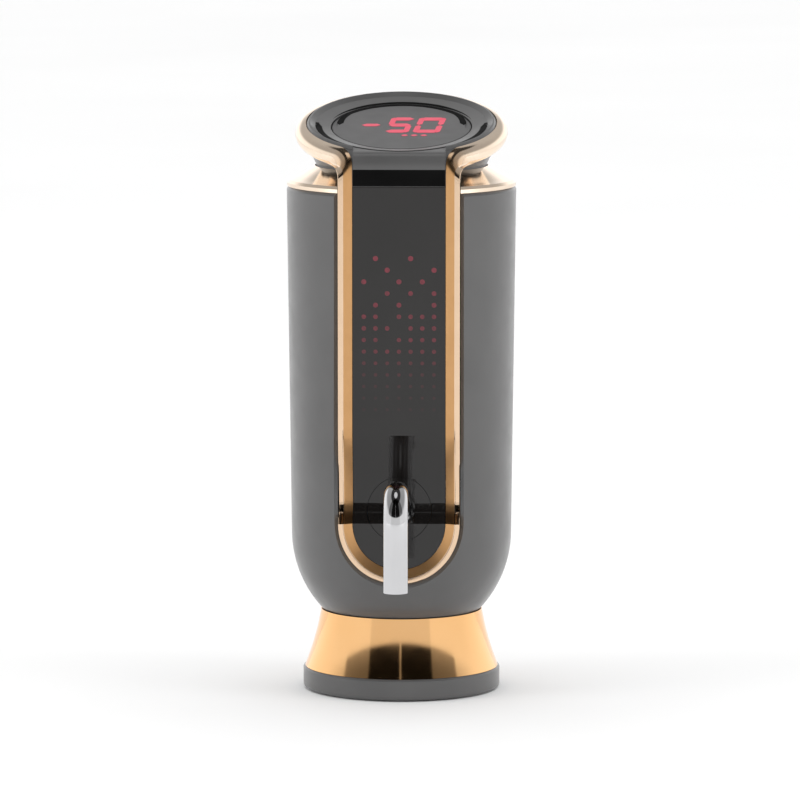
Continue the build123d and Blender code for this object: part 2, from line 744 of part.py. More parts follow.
def charge_board():
    return block((-7.5, 7.5), (15.5, 22.4), (USB_Z - 3.1, USB_Z - 1.9))


def usb_socket():
    """Pressed-steel charging socket with its tongue."""
    shell = usb_slot(8.9, 3.2, 19.6, 26.9) - usb_slot(8.3, 2.6, 20.4, 28)
    return shell + block((-3.3, 3.3), (20.0, 25.6), (USB_Z - 0.35, USB_Z + 0.35))


# ---------------------------------------------------------------- nodes
NODES = {
    "body_shell": body_shell,
    "trim_frame": trim_frame,
    "front_panel": front_panel,
    "top_cap": top_cap,
    "key_plate": key_plate,
    "neck_collar": neck_collar,
    "shoulder_ring": shoulder_ring,
    "skirt": skirt,
    "base_ring": base_ring,
    "bottle_stopper": bottle_stopper,
    "stopper_mount": stopper_mount,
    "sleeve_seal": sleeve_seal,
    "spout_tube": spout_tube,
    "spout_hub": spout_hub,
    "spout_seals": spout_seals,
    "spout_collar": spout_collar,
    "dip_sleeve": dip_sleeve,
    "dip_tube_upper": lambda: telescopic_stage(1),
    "dip_tube_middle": lambda: telescopic_stage(2),
    "dip_tube_lower": dip_tube_lower,
    "strainer_tip": strainer_tip,
    "sleeve_head": sleeve_head,
    "wine_tube": wine_tube,
    "valve_body": valve_body,
    "solenoid_coil": solenoid_coil,
    "solenoid_plunger": solenoid_plunger,
    "pump_motor": pump_motor,
    "pump_shaft": pump_shaft,
    "pump_eccentric": pump_eccentric,
    "pump_rocker": pump_rocker,
    "pump_housing": pump_housing,
    "pump_diaphragm": pump_diaphragm,
    "pump_head": pump_head,
    "air_tube": air_tube,
    "check_valve_body": check_valve_body,
    "check_valve_ball": check_valve_ball,
    "chassis": chassis,
    "battery_cell": battery_cell,
    "battery_holder": battery_holder,
    "battery_contacts": battery_contacts,
    "main_board": main_board,
    "board_chips": board_chips,
    "pressure_sensor": pressure_sensor,
    "board_screws": board_screws,
    "led_board": led_board,
    "led_lamps": led_lamps,
    "led_mask": led_mask,
    "display_board": display_board,
    "display_module": display_module,
    "key_switch": key_switch,
    "charge_board": charge_board,
    "usb_socket": usb_socket,
    "foot_screws": lambda: screws(FOOT_SCREWS, 17.15, 27.4),
    "deck_screws": lambda: screws(DECK_SCREWS, 119.2, 124.4),
}

os.makedirs("parts", exist_ok=True)
for name, make in NODES.items():
    export_step(make(), f"parts/{name}.step")
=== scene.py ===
import json
import math

import bmesh
import bpy
import numpy as np
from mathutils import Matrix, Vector


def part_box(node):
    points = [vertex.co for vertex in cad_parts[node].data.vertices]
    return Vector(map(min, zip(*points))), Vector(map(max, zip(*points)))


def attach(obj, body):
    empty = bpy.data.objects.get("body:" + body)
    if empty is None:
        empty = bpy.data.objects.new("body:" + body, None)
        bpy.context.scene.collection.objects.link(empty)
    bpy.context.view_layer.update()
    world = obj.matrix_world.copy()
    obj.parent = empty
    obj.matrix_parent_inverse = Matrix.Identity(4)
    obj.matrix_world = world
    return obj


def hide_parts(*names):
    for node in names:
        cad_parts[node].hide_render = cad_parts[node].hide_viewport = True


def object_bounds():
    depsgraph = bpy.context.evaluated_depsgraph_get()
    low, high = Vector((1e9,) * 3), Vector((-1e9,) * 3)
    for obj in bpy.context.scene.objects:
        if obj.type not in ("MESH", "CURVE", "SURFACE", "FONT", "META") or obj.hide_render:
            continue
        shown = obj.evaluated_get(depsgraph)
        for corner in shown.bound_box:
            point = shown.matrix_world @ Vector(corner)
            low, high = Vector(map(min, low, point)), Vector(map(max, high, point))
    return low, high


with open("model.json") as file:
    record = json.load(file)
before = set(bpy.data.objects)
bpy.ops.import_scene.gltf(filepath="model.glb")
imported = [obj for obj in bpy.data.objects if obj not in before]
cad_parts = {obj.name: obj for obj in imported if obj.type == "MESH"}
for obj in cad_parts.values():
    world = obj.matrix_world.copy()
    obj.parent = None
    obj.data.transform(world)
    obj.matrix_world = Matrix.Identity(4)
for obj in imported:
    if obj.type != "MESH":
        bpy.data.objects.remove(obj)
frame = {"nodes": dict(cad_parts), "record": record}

CAD_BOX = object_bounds()
CAD_MIDDLE = (CAD_BOX[0] + CAD_BOX[1]) / 2
MM = 0.001

# ------------------------------------------------------------------ sizes, in millimetres
CAP_TILT = math.radians(14.0)
CAP_TOP = 1.9                   # the cap's flat top above the tilted plane
DISPLAY_BOARD_OFFSET = -4.8     # the display board's middle, below the tilted plane
BEZEL_LOW = (24.4, -2.9)        # (radius, height over the tilted plane)
BEZEL_CROWN = (26.6, 0.1)
BEZEL_HIGH = (23.95, 2.3)
BEZEL_WALL = (0.4, -1.5, -2.9)  # heights down its straight inner wall
CAP_EDGE_R = 23.8

STRIP_HALF = 15.1               # from the middle to a strip's outer side
STRIP_RIM = 1.2                 # the strip's flat rim
STRIP_SLOPE = 2.3               # and the face that slopes in to the panel
STRIP_INSET = 1.25              # how far that face slopes back
STRIP_DEPTH = 3.0
STRIP_SOFT = 0.15               # rounding of the rim's edges
STRIP_Y = -25.4                 # depth of the upright front
U_CENTRE_Z = 44.7
VALLEY = (-20.9, 49.3)          # (depth, height) of the fold behind the spout
BEND_Z = 66.8                   # where the strips come back out of the fold
SHOULDER_Z = 128.7              # where the panel ends and the cap's apron starts
CROWN_RUN = 2.9
PANEL_HALF = 11.5

# where the trim curls off the strip: heights of its outer and inner edge, and
# how far across they have become the ring
LEAVE_Z = (130.0, 134.0)
JOIN_X = (19.3, 14.8)

# points along each stretch of the trim
FOLD_STEPS = 16
CROWN_STEPS = 24
U_STEPS = 22
UPRIGHT_STEPS = 6
APRON_STEPS = 8
CURL_STEPS = 18
BEZEL_STEPS = 56

PLATE_TOP = 1.2                 # the display window's face over the tilted plane
KEY_EDGE_R = 17.7
DISH_R = 21.6
# how far the black arcs of painted shade sink into and rise over the cap's grooves
SHADE_ARC_SINK, SHADE_ARC_RISE = -0.1, 0.03
SHADE_ARC_STEPS = 90

DIGIT_LOW, DIGIT_HIGH = -5.0, 6.8
DIGIT_MIDDLE = (DIGIT_LOW + DIGIT_HIGH) / 2
DIGIT_SLANT = 0.14
DIGITS = ((-3.4, 2.6, "afgcd"), (3.6, 10.4, "abcdef"))      # left, right, lit bars
MINUS = (-9.9, -5.3)
MINUS_HALF = 0.9
BAR_TALL = 2.3                  # a lit bar that runs across
BAR_WIDE = 1.45                 # a lit bar that runs up
BAR_GAP = 0.2                   # between bars
MARKS = (1.2, 3.6, 6.0)         # left ends of the unit marks
MARK_WIDE = 1.7
MARK_BELOW = (2.6, 1.5)         # how far below the figures they start and end

LAMP_SIDE = 1.2
DOT_HALF = 0.66
DOT_TURNS = range(0, 360, 30)
DOT_ROWS = (
    "0100100", "0010001", "1001010", "0010101", "0101001", "1101111", "1110111",
    "1101111", "1111111", "1111111", "1111111", "1111111", "1111111", "1111111",
)
DOT_GLOW = (1.0, 1.0, 0.95, 0.8, 0.85, 0.7, 0.7, 0.6, 0.55, 0.35, 0.22, 0.15, 0.10, 0.07)


# ------------------------------------------------------------------ material helpers
def new_material(name):
    """An empty node material, its Principled shader and its object-space coordinates."""
    material = bpy.data.materials.new(name)
    material.use_nodes = True
    nodes = material.node_tree.nodes
    shader = nodes["Principled BSDF"]
    place = nodes.new("ShaderNodeTexCoord").outputs["Object"]
    return material, shader, place


def noise(material, place, size_mm, detail=3.0, stretch=None):
    """Noise whose features are size_mm across, stretched along an axis if asked."""
    tree = material.node_tree
    node = tree.nodes.new("ShaderNodeTexNoise")
    node.inputs["Scale"].default_value = 1.0 / (size_mm * MM)
    node.inputs["Detail"].default_value = detail
    if stretch:
        mapping = tree.nodes.new("ShaderNodeMapping")
        mapping.inputs["Scale"].default_value = stretch
        tree.links.new(place, mapping.inputs["Vector"])
        place = mapping.outputs["Vector"]
    tree.links.new(place, node.inputs["Vector"])
    return node.outputs["Fac"]


def spread(material, value, low, high, start=0.3, end=0.7):
    """Maps a 0 to 1 value onto a range."""
    tree = material.node_tree
    node = tree.nodes.new("ShaderNodeMapRange")
    node.inputs["From Min"].default_value = start
    node.inputs["From Max"].default_value = end
    node.inputs["To Min"].default_value = low
    node.inputs["To Max"].default_value = high
    tree.links.new(value, node.inputs["Value"])
    return node.outputs["Result"]


def two_tone(material, value, first, second):
    """A colour that drifts between two tones."""
    tree = material.node_tree
    node = tree.nodes.new("ShaderNodeMix")
    node.data_type = "RGBA"
    node.inputs["A"].default_value = (*first, 1)
    node.inputs["B"].default_value = (*second, 1)
    tree.links.new(spread(material, value, 0, 1), node.inputs["Factor"])
    return node.outputs["Result"]


def bump(material, shader, value, depth_mm):
    """Relief of a real depth, from a 0 to 1 height."""
    tree = material.node_tree
    node = tree.nodes.new("ShaderNodeBump")
    node.inputs["Distance"].default_value = depth_mm * MM
    node.inputs["Strength"].default_value = 1.0
    tree.links.new(value, node.inputs["Height"])
    tree.links.new(node.outputs["Normal"], shader.inputs["Normal"])


def finish_surface(material, shader, place, tones, roughness, grain_mm, depth_mm, blotch_mm=14.0):
    """Colour drift, roughness drift and fine relief, each at its own scale."""
    link = material.node_tree.links.new
    blotch = noise(material, place, blotch_mm)
    link(two_tone(material, blotch, *tones), shader.inputs["Base Color"])
    smear = noise(material, place, blotch_mm * 0.4, detail=5.0)
    link(spread(material, smear, *roughness), shader.inputs["Roughness"])
    bump(material, shader, noise(material, place, grain_mm), depth_mm)


# ------------------------------------------------------------------ one function for each finish
def gloss_dark():
    """Polished grey moulding: shallow orange peel, a thin clear coat, faint handling marks."""
    material, shader, place = new_material("gloss_dark")
    tones = ((0.080, 0.079, 0.079), (0.092, 0.091, 0.091))
    finish_surface(material, shader, place, tones, (0.30, 0.40), 1.1, 0.004)
    shader.inputs["Coat Weight"].default_value = 0.35
    shader.inputs["Coat Roughness"].default_value = 0.16
    return material


def rose_gold():
    """Mirror plating over moulded plastic, with the slow waves of the moulding under it."""
    material, shader, place = new_material("rose_gold")
    shader.inputs["Metallic"].default_value = 1.0
    tones = ((0.94, 0.54, 0.235), (0.955, 0.565, 0.26))
    finish_surface(material, shader, place, tones, (0.07, 0.12), 6.0, 0.006)
    return material


def trim_gold():
    """The trim's plating with painted shade: pale on the ring, painted darker on the faces that slope
    in beside the panel, in place of their darker reflections.
    """
    material, shader, place = new_material("trim_gold")
    tree = material.node_tree
    shader.inputs["Metallic"].default_value = 1.0
    # painted shade: a value for each face, from 0 for the pale tone to 1 for the same plating painted
    # darker on the sloping faces; it also roughens them
    painted_shade = tree.nodes.new("ShaderNodeAttribute")
    painted_shade.attribute_name = "painted_shade"
    wave = noise(material, place, 4.0)
    pale = two_tone(material, wave, (0.93, 0.76, 0.60), (0.95, 0.79, 0.63))
    # the same plating painted darker, as painted shade
    shaded_tone = two_tone(material, wave, (0.60, 0.335, 0.145), (0.64, 0.36, 0.16))
    blend = tree.nodes.new("ShaderNodeMix")
    blend.data_type = "RGBA"
    tree.links.new(painted_shade.outputs["Fac"], blend.inputs["Factor"])
    tree.links.new(pale, blend.inputs["A"])
    tree.links.new(shaded_tone, blend.inputs["B"])
    tree.links.new(blend.outputs["Result"], shader.inputs["Base Color"])
    rough = spread(material, painted_shade.outputs["Fac"], 0.11, 0.36, 0.5, 1.0)
    haze = tree.nodes.new("ShaderNodeMath")
    haze.operation = "ADD"
    tree.links.new(rough, haze.inputs[0])
    tree.links.new(spread(material, noise(material, place, 7.0), -0.02, 0.03), haze.inputs[1])
    tree.links.new(haze.outputs["Value"], shader.inputs["Roughness"])
    bump(material, shader, wave, 0.004)
    return material


def tinted_panel():
    """Smoked clear plastic over black: a hard gloss with a faint moulded wave."""
    material, shader, place = new_material("tinted_panel")
    tones = ((0.0095, 0.0085, 0.0080), (0.0125, 0.0110, 0.0105))
    finish_surface(material, shader, place, tones, (0.05, 0.09), 9.0, 0.004)
    return material


def display_window():
    """Satin grey window over the display."""
    material, shader, place = new_material("display_window")
    tones = ((0.078, 0.077, 0.078), (0.088, 0.087, 0.088))
    finish_surface(material, shader, place, tones, (0.32, 0.40), 0.6, 0.003)
    return material


def black_band_and_painted_shade():
    """Glossy black: the band let into the cap's apron, and painted shade in the cap's grooves."""
    material, shader, place = new_material("black_band_and_painted_shade")
    tones = ((0.003, 0.003, 0.003), (0.006, 0.006, 0.006))
    finish_surface(material, shader, place, tones, (0.45, 0.60), 1.0, 0.002)
    shader.inputs["Specular IOR Level"].default_value = 0.04
    return material


def chrome():
    """Polished steel tube with very fine drawing lines."""
    material, shader, place = new_material("chrome")
    shader.inputs["Metallic"].default_value = 1.0
    tones = ((0.58, 0.58, 0.59), (0.64, 0.64, 0.65))
    finish_surface(material, shader, place, tones, (0.04, 0.09), 2.5, 0.002)
    return material


def steel():
    """Brushed stainless tube and screws."""
    material, shader, place = new_material("steel")
    shader.inputs["Metallic"].default_value = 1.0
    link = material.node_tree.links.new
    lines = noise(material, place, 0.4, detail=2.0, stretch=(1, 1, 0.03))
    colour = two_tone(material, lines, (0.52, 0.52, 0.53), (0.64, 0.64, 0.65))
    link(colour, shader.inputs["Base Color"])
    link(spread(material, lines, 0.22, 0.34), shader.inputs["Roughness"])
    bump(material, shader, lines, 0.004)
    return material


def silicone():
    """Soft translucent rubber with a matt skin."""
    material, shader, place = new_material("silicone")
    tones = ((0.60, 0.59, 0.57), (0.68, 0.67, 0.65))
    finish_surface(material, shader, place, tones, (0.48, 0.60), 0.5, 0.02)
    shader.inputs["Subsurface Weight"].default_value = 0.15
    shader.inputs["Subsurface Scale"].default_value = 0.002
    return material


def clear_hose():
    """Milky food hose."""
    material, shader, place = new_material("clear_hose")
    tones = ((0.72, 0.74, 0.75), (0.80, 0.82, 0.83))
    finish_surface(material, shader, place, tones, (0.20, 0.30), 1.5, 0.01)
    shader.inputs["Transmission Weight"].default_value = 0.4
    return material


def frame_plastic():
    """Unpainted black moulding with a spark-eroded grain."""
    material, shader, place = new_material("frame_plastic")
    tones = ((0.030, 0.030, 0.031), (0.042, 0.042, 0.043))
    finish_surface(material, shader, place, tones, (0.50, 0.65), 0.35, 0.02)
    return material


def coil_winding():
    """Enamelled copper wire in close turns."""
    material, shader, place = new_material("coil_winding")
    shader.inputs["Metallic"].default_value = 0.8
    tree = material.node_tree
    turns = tree.nodes.new("ShaderNodeTexWave")
    turns.bands_direction = "X"
    turns.inputs["Scale"].default_value = 650.0
    turns.inputs["Distortion"].default_value = 0.4
    tree.links.new(place, turns.inputs["Vector"])
    height = turns.outputs["Fac"]
    colour = two_tone(material, height, (0.30, 0.11, 0.04), (0.62, 0.27, 0.11))
    tree.links.new(colour, shader.inputs["Base Color"])
    tree.links.new(spread(material, height, 0.35, 0.25), shader.inputs["Roughness"])
    bump(material, shader, height, 0.1)
    return material


def battery_sleeve():
    """Shrink film with faint ripples along the cell."""
    material, shader, place = new_material("battery_sleeve")
    link = material.node_tree.links.new
    ripple = noise(material, place, 2.5, stretch=(1, 1, 0.2))
    colour = two_tone(material, ripple, (0.02, 0.16, 0.30), (0.03, 0.20, 0.36))
    link(colour, shader.inputs["Base Color"])
    link(spread(material, ripple, 0.28, 0.40), shader.inputs["Roughness"])
    bump(material, shader, ripple, 0.05)
    return material


def circuit_board():
    """Green solder mask with the grid of the glass cloth under it."""
    material, shader, place = new_material("circuit_board")
    tree = material.node_tree
    weave = tree.nodes.new("ShaderNodeTexBrick")
    weave.inputs["Scale"].default_value = 900.0
    weave.inputs["Color1"].default_value = (0.010, 0.085, 0.035, 1)
    weave.inputs["Color2"].default_value = (0.012, 0.105, 0.045, 1)
    weave.inputs["Mortar"].default_value = (0.008, 0.065, 0.028, 1)
    tree.links.new(place, weave.inputs["Vector"])
    tree.links.new(weave.outputs["Color"], shader.inputs["Base Color"])
    mask = noise(material, place, 3.0)
    tree.links.new(spread(material, mask, 0.28, 0.42), shader.inputs["Roughness"])
    bump(material, shader, weave.outputs["Fac"], 0.01)
    return material


def chip_black():
    """Matt moulded package."""
    material, shader, place = new_material("chip_black")
    tones = ((0.014, 0.014, 0.015), (0.024, 0.024, 0.025))
    finish_surface(material, shader, place, tones, (0.55, 0.70), 0.15, 0.01, blotch_mm=2.0)
    return material


def lamp_red():
    """Small red lamp whose tone drifts in small clouds."""
    material, shader, place = new_material("lamp_red")
    link = material.node_tree.links.new
    cloud = noise(material, place, 0.6)
    colour = two_tone(material, cloud, (0.55, 0.04, 0.07), (0.75, 0.06, 0.10))
    link(colour, shader.inputs["Base Color"])
    link(spread(material, cloud, 0.25, 0.40), shader.inputs["Roughness"])
    bump(material, shader, cloud, 0.01)
    return material


def lit_digits():
    """Pink-red light that breathes slightly along each bar."""
    material, shader, place = new_material("lit_digits")
    link = material.node_tree.links.new
    cloud = noise(material, place, 1.6)
    colour = two_tone(material, cloud, (0.74, 0.075, 0.125), (0.86, 0.11, 0.17))
    link(colour, shader.inputs["Emission Color"])
    link(spread(material, cloud, 0.4, 0.5), shader.inputs["Roughness"])
    shader.inputs["Base Color"].default_value = (0.10, 0.02, 0.03, 1)
    shader.inputs["Emission Strength"].default_value = 0.85
    return material


def lit_dots():
    """Dim red dots that fade out towards the foot of the matrix."""
    material, shader, place = new_material("lit_dots")
    tree = material.node_tree
    glow = tree.nodes.new("ShaderNodeAttribute")
    glow.attribute_name = "glow"
    cloud = noise(material, place, 0.7)
    level = tree.nodes.new("ShaderNodeMath")
    level.operation = "MULTIPLY"
    tree.links.new(glow.outputs["Fac"], level.inputs[0])
    tree.links.new(spread(material, cloud, 0.15, 0.25), level.inputs[1])
    tree.links.new(level.outputs["Value"], shader.inputs["Emission Strength"])
    tree.links.new(spread(material, cloud, 0.08, 0.12), shader.inputs["Roughness"])
    shader.inputs["Base Color"].default_value = (0.011, 0.010, 0.0095, 1)
    shader.inputs["Emission Color"].default_value = (0.80, 0.06, 0.13, 1)
    return material


def pale_floor():
    """Matt studio sheet."""
    material, shader, place = new_material("pale_floor")
    tones = ((0.90, 0.90, 0.90), (0.92, 0.92, 0.92))
    finish_surface(material, shader, place, tones, (0.75, 0.85), 1.5, 0.02, blotch_mm=300.0)
    return material


SLOT_MATERIALS = {
    finish.__name__: finish()
    for finish in (
        gloss_dark, rose_gold, tinted_panel, display_window, chrome, silicone, clear_hose,
        steel, frame_plastic, coil_winding, battery_sleeve, circuit_board, chip_black, lamp_red,
    )
}
TRIM_MATERIAL = trim_gold()


def dress_nodes():
    """Each CAD node gets the finish of its slot; the shoulder has the trim's material, in its pale
    tone with no painted shade.
    """
    for part in frame["record"]["subparts"]:
        node = frame["nodes"][part["node"]]
        node.data.materials.clear()
        node.data.materials.append(SLOT_MATERIALS[part["material_slot"]])
    shoulder = frame["nodes"]["shoulder_ring"]
    shoulder.data.materials[0] = TRIM_MATERIAL


# ------------------------------------------------------------------ mesh helpers
def mesh_piece(name, points, faces, material, body, crease=25.0):
    """A mesh from millimetre points, smooth where its faces meet at less than crease degrees."""
    mesh = bpy.data.meshes.new(name)
    mesh.from_pydata([Vector(p) * MM for p in points], [], faces)
    work = bmesh.new()
    work.from_mesh(mesh)
    bmesh.ops.recalc_face_normals(work, faces=work.faces)
    for edge in work.edges:
        edge.smooth = len(edge.link_faces) == 2 and edge.calc_face_angle() < math.radians(crease)
    for face in work.faces:
        face.smooth = True
    work.to_mesh(mesh)
    work.free()
    mesh.materials.append(material)
    piece = bpy.data.objects.new(name, mesh)
    bpy.context.scene.collection.objects.link(piece)
    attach(piece, body)
    return piece


def prism(outline, low, high, place):
    """Points and faces of a flat outline given a thickness, each point put in place(x, y, height)."""
    count = len(outline)
    points = [place(x, y, low) for x, y in outline] + [place(x, y, high) for x, y in outline]
    faces = [list(range(count - 1, -1, -1)), list(range(count, 2 * count))]
    for i in range(count):
        j = (i + 1) % count
        faces.append([i, j, count + j, count + i])
    return points, faces


def channel_faces(count):
    """Faces of a bar whose count cross-sections have four corners each, closed at both ends."""
    faces = [
        [4 * i + k, 4 * i + 4 + k, 4 * i + 4 + (k + 1) % 4, 4 * i + (k + 1) % 4]
        for i in range(count - 1)
        for k in range(4)
    ]
    return faces + [[3, 2, 1, 0], [4 * count - 4 + k for k in range(4)]]


def join_shapes(shapes):
    """Several point and face lists as one."""
    points, faces = [], []
    for more_points, more_faces in shapes:
        start = len(points)
        points += more_points
        faces += [[start + i for i in face] for face in more_faces]
    return points, faces


def hermite(start, end, leave, arrive, steps):
    """Points of a cubic from start to end, with the directions it leaves and arrives in."""
    start, end = np.array(start, float), np.array(end, float)
    reach = np.linalg.norm(end - start)
    leave = np.array(leave, float) / np.linalg.norm(leave) * reach
    arrive = np.array(arrive, float) / np.linalg.norm(arrive) * reach
    t = np.linspace(0, 1, steps)[:, None]
    return (
        (2 * t**3 - 3 * t**2 + 1) * start
        + (t**3 - 2 * t**2 + t) * leave
        + (3 * t**2 - 2 * t**3) * end
        + (t**3 - t**2) * arrive
    )


# ------------------------------------------------------------------ the cap's tilted plane
def cap_origin():
    """Middle of the tilted plane, from the round display board that lies in it."""
    low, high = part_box("display_board")
    normal = Vector((0, -math.sin(CAP_TILT), math.cos(CAP_TILT)))
    return (low + high) / 2 / MM - normal * DISPLAY_BOARD_OFFSET


CAP_ORIGIN = cap_origin()


def on_cap(x, y, height):
    """A place in the cap's plane: x to the right, y to the back, and a height over it."""
    return (
        CAP_ORIGIN.x + x,
        CAP_ORIGIN.y + y * math.cos(CAP_TILT) - height * math.sin(CAP_TILT),
        CAP_ORIGIN.z + y * math.sin(CAP_TILT) + height * math.cos(CAP_TILT),
    )


def on_ring(radius, height, turn):
    """A place on a ring in the cap's plane, turn in radians from the front."""
    return on_cap(radius * math.sin(turn), -radius * math.cos(turn), height)


# ------------------------------------------------------------------ the trim frame
def crown_roll(inset):
    """(depth, height) along the roll from the upright front onto the cap, inset behind the rim."""
    crown_y = STRIP_Y + CROWN_RUN + inset
    crown_z = CAP_ORIGIN.z + CAP_TOP / math.cos(CAP_TILT) + crown_y * math.tan(CAP_TILT)
    lean = (math.cos(CAP_TILT), math.sin(CAP_TILT))
    return hermite((STRIP_Y + inset, SHOULDER_Z), (crown_y, crown_z), (0, 1), lean, CROWN_STEPS)


def front_profile():
    """Heights and depths of the strips' front line, from the U's centre to the cap."""
    into_fold = hermite((STRIP_Y, U_CENTRE_Z), VALLEY, (1, 0.75), (0.2, 1), FOLD_STEPS)
    out_of_fold = hermite(VALLEY, (STRIP_Y, BEND_Z), (0, 1), (-0.26, 1), FOLD_STEPS)
    line = np.vstack([into_fold, out_of_fold[1:], crown_roll(0)])
    return line[:, 1], line[:, 0]


LINE_Z, LINE_Y = front_profile()


def front_y(z):
    """Depth of the strips' front at a height."""
    return float(np.interp(z, LINE_Z, LINE_Y))


def strip_section():
    """(across from the outer side, depth behind the front line) of one strip, front then back."""
    rim, soft = STRIP_RIM, STRIP_SOFT
    front = [(0, soft), (soft, 0), (rim - soft, 0), (rim + soft, 0.08)]
    for share in np.linspace(0.25, 1, 6):
        front.append((rim + STRIP_SLOPE * share, STRIP_INSET * share))
    back = [(rim + STRIP_SLOPE, STRIP_INSET + STRIP_DEPTH), (rim, STRIP_DEPTH), (0, STRIP_DEPTH)]
    return front + back


def bezel_section(count):
    """(radius, height) round the ring: its crown from below to the top, then its inner wall.

    The crown is count points on the circle through the ring's lowest, widest and highest places.
    """
    a, b, c = (np.array(p) for p in (BEZEL_LOW, BEZEL_CROWN, BEZEL_HIGH))
    rows = np.array([2 * (b - a), 2 * (c - a)])
    centre = np.linalg.solve(rows, np.array([b @ b - a @ a, c @ c - a @ a]))
    radius = np.linalg.norm(a - centre)
    start = math.atan2(*(a - centre)[::-1])
    end = math.atan2(*(c - centre)[::-1])
    crown = [
        (centre[0] + radius * math.cos(angle), centre[1] + radius * math.sin(angle))
        for angle in np.linspace(start, end, count)
    ]
    return crown + [(BEZEL_HIGH[0], height) for height in BEZEL_WALL]


def half_line(across, depth, radius, height):
    """One long line of the right half of the trim: U, strip, curl and ring.

    The line runs across and depth in the strip's section, and radius and height in the ring's.
    """
    share = across / (STRIP_RIM + STRIP_SLOPE)
    x = STRIP_HALF - across
    line = []
    for angle in np.linspace(-math.pi / 2, 0, U_STEPS)[:-1]:
        line.append((x * math.cos(angle), STRIP_Y + depth, U_CENTRE_Z + x * math.sin(angle)))
    leave_z = LEAVE_Z[0] + (LEAVE_Z[1] - LEAVE_Z[0]) * share
    heights = np.concatenate([
        LINE_Z[LINE_Z < SHOULDER_Z - 1],
        np.linspace(BEND_Z, SHOULDER_Z, UPRIGHT_STEPS)[1:-1],
        np.linspace(SHOULDER_Z, leave_z, APRON_STEPS),
    ])
    line += [(x, front_y(z) + depth, z) for z in heights]
    join_x = JOIN_X[0] + (JOIN_X[1] - JOIN_X[0]) * share
    turn = math.asin(join_x / radius)
    start, end = line[-1], on_ring(radius, height, turn)
    leave = (0, front_y(leave_z) - front_y(leave_z - 0.5), 0.5)
    ahead = on_ring(radius, height, turn + 0.01)
    arrive = np.array(ahead) - np.array(end)
    line += [tuple(p) for p in hermite(start, end, leave, arrive, CURL_STEPS)[1:-1]]
    line += [on_ring(radius, height, t) for t in np.linspace(turn, math.pi, BEZEL_STEPS)]
    return line


def trim_lines():
    """Every long line of the trim's right half, from its outer corner round to its back."""
    strip = strip_section()
    bezel = bezel_section(len(strip) - 3)
    return strip, [half_line(*s, *b) for s, b in zip(strip, bezel)]


def trim_painted_shade(step, total, across):
    """How much painted shade one face gets: slopes most, fading out along the curl."""
    step = min(step, 2 * (total - 1) - step)
    curl_start = total - BEZEL_STEPS - CURL_STEPS + 2
    fade = min(1.0, max(0.0, 1 - (step - curl_start) / CURL_STEPS))
    sloping = STRIP_RIM + 0.1 < across < STRIP_RIM + STRIP_SLOPE - 0.01
    return fade if sloping else 0.45 * fade


def trim_loop():
    """The rose-gold trim as one closed band: it curls off each strip into the slanted ring."""
    strip, lines = trim_lines()
    right = list(zip(*lines))
    left = [[(-x, y, z) for x, y, z in section] for section in right[-2:0:-1]]
    sections = right + left
    width = len(strip)
    points = [p for section in sections for p in section]
    faces, painted_shades = [], []
    for i in range(len(sections)):
        j = (i + 1) % len(sections)
        for k in range(width):
            m = (k + 1) % width
            faces.append([i * width + k, j * width + k, j * width + m, i * width + m])
            painted_shades.append(trim_painted_shade(i, len(right), strip[k][0] if k < width - 3 else 0))
    piece = mesh_piece("trim_band", points, faces, TRIM_MATERIAL, "housing", 24.0)
    # painted shade for each face, which darkens the plating's colour
    attribute = piece.data.attributes.new("painted_shade", "FLOAT", "FACE")
    attribute.data.foreach_set("value", painted_shades)
    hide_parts("trim_frame")


def cap_corners():
    """The cap's rounded corners, between its round edge, its apron and the curl of the trim."""
    strip, lines = trim_lines()
    edge_line = lines[len(strip) - 4]
    start = len(edge_line) - BEZEL_STEPS - CURL_STEPS + 2
    outer = [Vector(p) for p in edge_line[start:start + CURL_STEPS]]
    inner = []
    first_turn = math.asin(PANEL_HALF / CAP_EDGE_R)
    last_turn = math.asin(JOIN_X[1] / CAP_EDGE_R)
    turns = np.linspace(first_turn, last_turn, CURL_STEPS // 2)
    for z in np.linspace(outer[0].z, LINE_Z[-1] - 0.6, CURL_STEPS - len(turns)):
        inner.append(Vector((PANEL_HALF - 0.3, front_y(z) + STRIP_INSET + 0.15, z)))
    inner += [Vector(on_ring(CAP_EDGE_R - 0.2, CAP_TOP + 0.1, turn)) for turn in turns]
    drop = Vector((0, 0.35, -0.35))     # down and back, under the skin
    shapes = []
    for side in (-1, 1):
        mirror = Vector((side, 1, 1))
        rim = [a * mirror for a in outer]
        far = [b * mirror for b in inner]
        rows = [(a + drop * 0.5, b, b + drop * 2, a + drop * 2) for a, b in zip(rim, far)]
        shapes.append(([p for row in rows for p in row], channel_faces(CURL_STEPS)))
    points, faces = join_shapes(shapes)
    dark = SLOT_MATERIALS["gloss_dark"]
    mesh_piece("cap_corners", points, faces, dark, "housing", 40.0)


